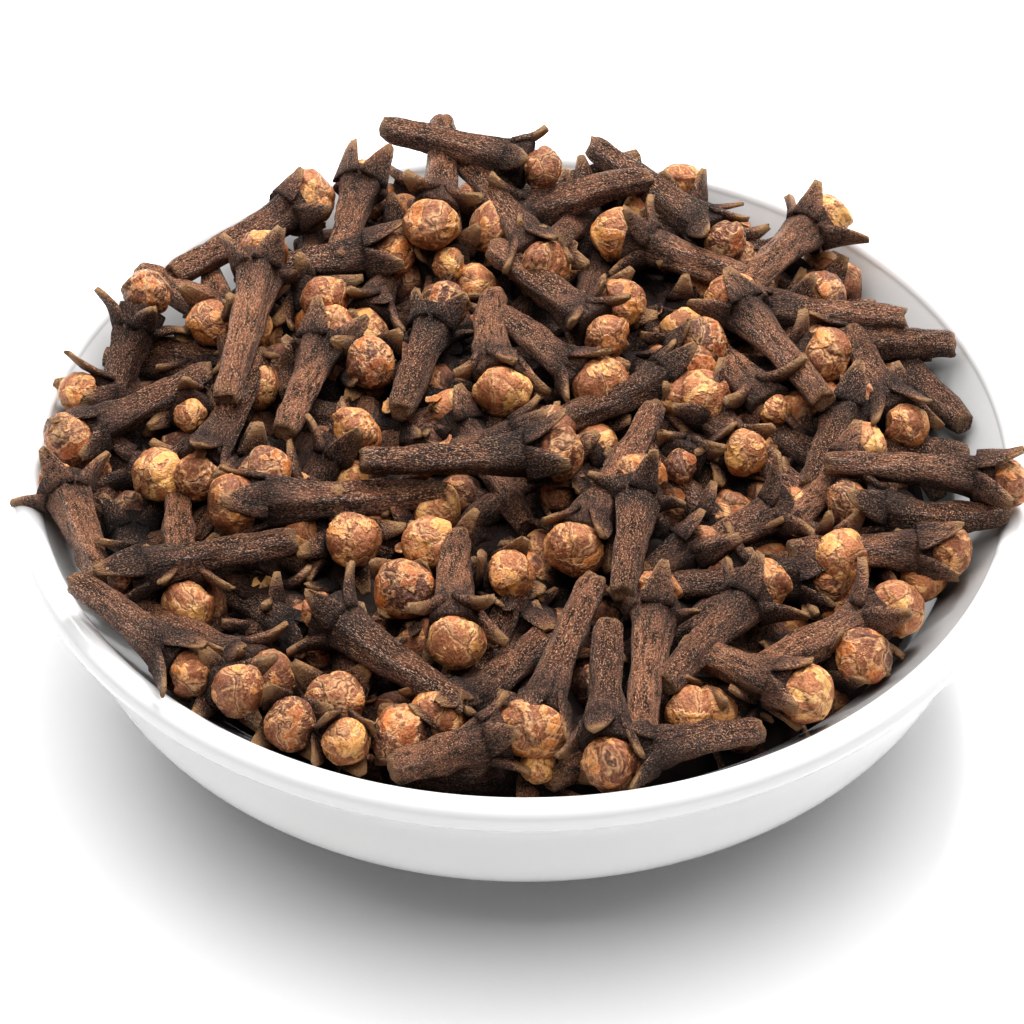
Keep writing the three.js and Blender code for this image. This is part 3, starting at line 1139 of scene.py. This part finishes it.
# torn petals and broken lobes that lie on the cloves
crumb = {
    "count": 55,
    "radius": 33,
    "depth": (1.2, 4.5),
    "length": (1.1, 2.2),
    "width": 0.6,
    "thickness": 0.13,
    "taper": 0.4,
    "curl": 0.35,
    "ripple": 0.3,
    "rippleScale": 1.5,
    "tilt": (-30, 30),
    "edgeTan": 0.35,
    "edgeSpan": (0.6, 1),
    "shade": 0.5,
    "roundness": 2,
}


def crumbPlace():
    least, most = crumb["depth"]
    for attempt in range(spread["tries"]):
        around = draw(0, 2 * pi)
        radius = crumb["radius"] * sqrt(draw(0, 1))
        x, y = radius * cos(around), radius * sin(around)
        top = field[fieldIndex(x, y)] + heap["bite"]
        if least < heapHeight(x, y) - top < most:
            break
    turn = Matrix.Rotation(draw(0, 2 * pi), 4, "Z")
    tilt = Matrix.Rotation(radians(draw(*crumb["tilt"])), 4, "X")
    return Matrix.Translation((x, y, top + crumb["thickness"])) @ turn @ tilt


def makeCrumb(half, number):
    bm = newShape(withPatterns=True)
    shadeLayer = bm.verts.layers.float["shade"]
    tintLayer = bm.verts.layers.float["tint"]
    grainLayer = bm.verts.layers.float_vector["grain"]
    bmesh.ops.create_icosphere(bm, subdivisions=crumb["roundness"], radius=1)
    scale = crumb["rippleScale"]
    for vert in bm.verts:
        along, side, up = vert.co
        lift = crumb["curl"] * half * (along * along + side * side)
        ripple = crumb["ripple"] * noiseAt(along * scale, side * scale, number * 1.7)
        width = side * half * crumb["width"] * (1 - crumb["taper"] * along)
        vert.co = Vector((along * half, width, up * crumb["thickness"] + lift + ripple))
        edge = crumb["edgeTan"] * smoothStep(*crumb["edgeSpan"], hypot(along, side))
        vert[shadeLayer] = edge - crumb["shade"]
        vert[tintLayer] = tintOf(number)
        vert[grainLayer] = vert.co + grainShift(number)
    return bm


def makeCrumbs():
    bm = newShape(withPatterns=True)
    for i in range(crumb["count"]):
        place = crumbPlace()
        part = makeCrumb(draw(*crumb["length"]) / 2, i)
        bmesh.ops.transform(part, matrix=place, verts=part.verts)
        joinPart(bm, part, i % 3 // 2)  # every third is of the stem's skin
    piece = finishPiece(bm, "petalCrumbs", [budMaterial, stemMaterial])
    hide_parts("cloves")
    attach(piece, "root")


# painted shade: a near-black middle that stands for the shaded depths and closes the deepest gaps
core = {
    "rings": 28,
    "steps": 96,
    "radius": 32,
    "depth": 6,
    "fall": 3.2,
    "fallPower": 8,
    "floorRadius": 22,
    "floorRise": 1,
    "side": (30, 10),
    "relief": 2.5,
    "reliefScale": 0.35,
    "reliefRadius": 30,
    "reliefAbove": 11,
    "noiseScale": 300,
    "noiseDetail": 4,
    # near black, painted shade
    "browns": [(0.3, (0.006, 0.004, 0.003)), (0.7, (0.03, 0.016, 0.011))],
    "roughness": 0.9,
}


def makeCoreMaterial():
    material, tree, shader = newMaterial("heapShadow")
    place = addNode(tree, "ShaderNodeTexCoord").outputs["Object"]
    mottle = addNoise(tree, place, core["noiseScale"], core["noiseDetail"])
    tree.links.new(addRamp(tree, mottle, core["browns"]), shader.inputs["Base Color"])
    shader.inputs["Roughness"].default_value = core["roughness"]
    return material


def makeCore():
    outline = []
    for i in range(core["rings"]):
        part = 1 - i / core["rings"]
        radius = core["radius"] * part
        fall = core["fall"] * part ** core["fallPower"]
        outline.append((radius, heapHeight(radius, 0) - core["depth"] - fall))
    bottom = bowl["floorTop"] + heap["clearance"]
    outline += [(0, bottom), (core["floorRadius"], bottom + core["floorRise"]), core["side"]]
    bm = spinOutline(outline, core["steps"], closed=True)
    for vert in bm.verts:
        if hypot(vert.co.x, vert.co.y) < core["reliefRadius"] and vert.co.z > core["reliefAbove"]:
            vert.co.z += core["relief"] * noise.noise(vert.co * core["reliefScale"])
    piece = finishPiece(bm, "heapCore", [makeCoreMaterial()])
    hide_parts("cloves")
    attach(piece, "root")


# the first of the lying cloves are sunk in the heap
sunkCount = 30
sunk, onTop = layers["lying"][:sunkCount], layers["lying"][sunkCount:]

# shapes is how many different ones are shared out, numberFrom seeds them
cloveLayers = {
    "lowerCloves": {"layer": layers["fill"], "detail": plain, "shapes": 8, "numberFrom": 300},
    "standingCloves": {"layer": layers["buried"], "detail": fine, "shapes": 8, "numberFrom": 100},
    "sunkCloves": {"layer": sunk, "detail": fine, "shapes": 10, "numberFrom": 0},
    "lyingCloves": {"layer": onTop, "detail": fine, "shapes": 12, "numberFrom": 40},
}

stemMaterial = makeStemMaterial()
budMaterial = makeBudMaterial()
makeCore()
for name, settings in cloveLayers.items():
    makeCloves(name, **settings)
makeCrumbs()
print("cloves")
